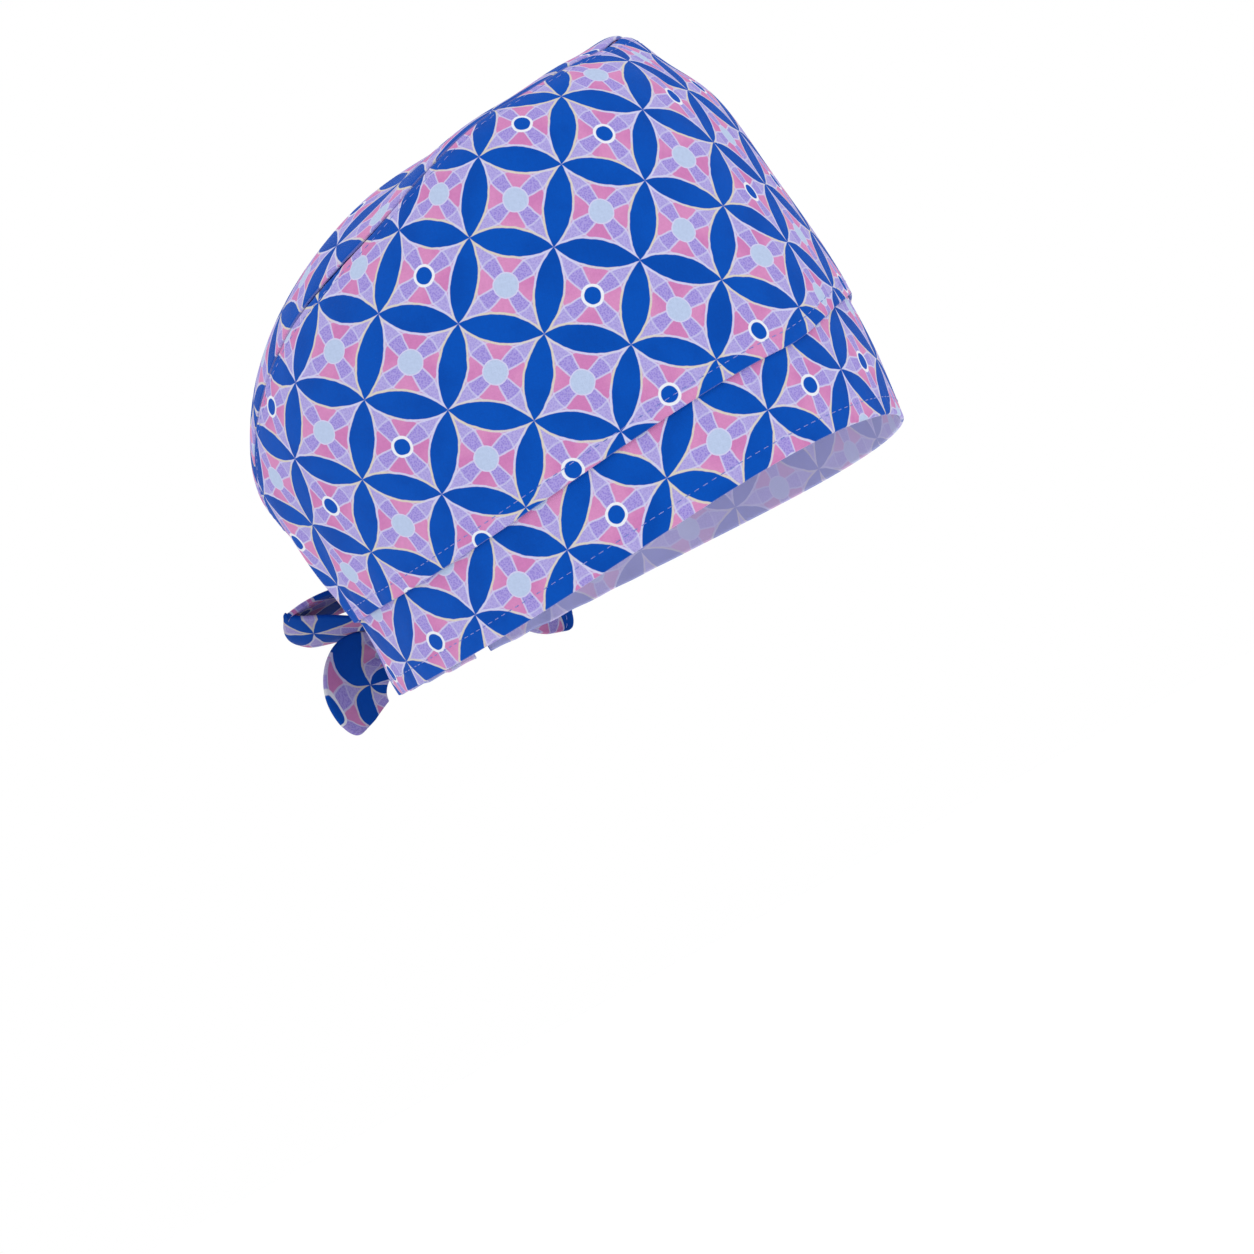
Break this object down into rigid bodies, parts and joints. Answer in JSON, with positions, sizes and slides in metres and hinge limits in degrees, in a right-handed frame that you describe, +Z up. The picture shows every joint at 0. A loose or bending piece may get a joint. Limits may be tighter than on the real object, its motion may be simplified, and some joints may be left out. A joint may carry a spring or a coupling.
{
  "type": "scrub cap",
  "caption": "Tall cloth scrub cap in its worn form, with a crown panel, a side wrap, a brim band and a bow tied at the nape.",
  "frame": {"origin": "centre of the rim at its mean height, where the cap sits round the head", "axes": "+X to the wearer's left, -Y to the front, +Z up out of the top of the cap"},
  "size_m": [0.1742, 0.2345, 0.1493],
  "materials": {
    "crown_cloth": "printed woven cotton",
    "wrap_cloth": "printed woven cotton",
    "band_cloth": "printed woven cotton",
    "tie_cloth": "printed woven cotton"
  },
  "bodies": {
    "root": {"side_wrap": "wrap_cloth", "crown_panel": "crown_cloth", "brim_band": "band_cloth", "tie_knot": "tie_cloth", "right_tie_loop": "tie_cloth", "right_tie_tail": "tie_cloth", "left_tie_loop": "tie_cloth", "left_tie_tail": "tie_cloth"}
  },
  "joints": []
}
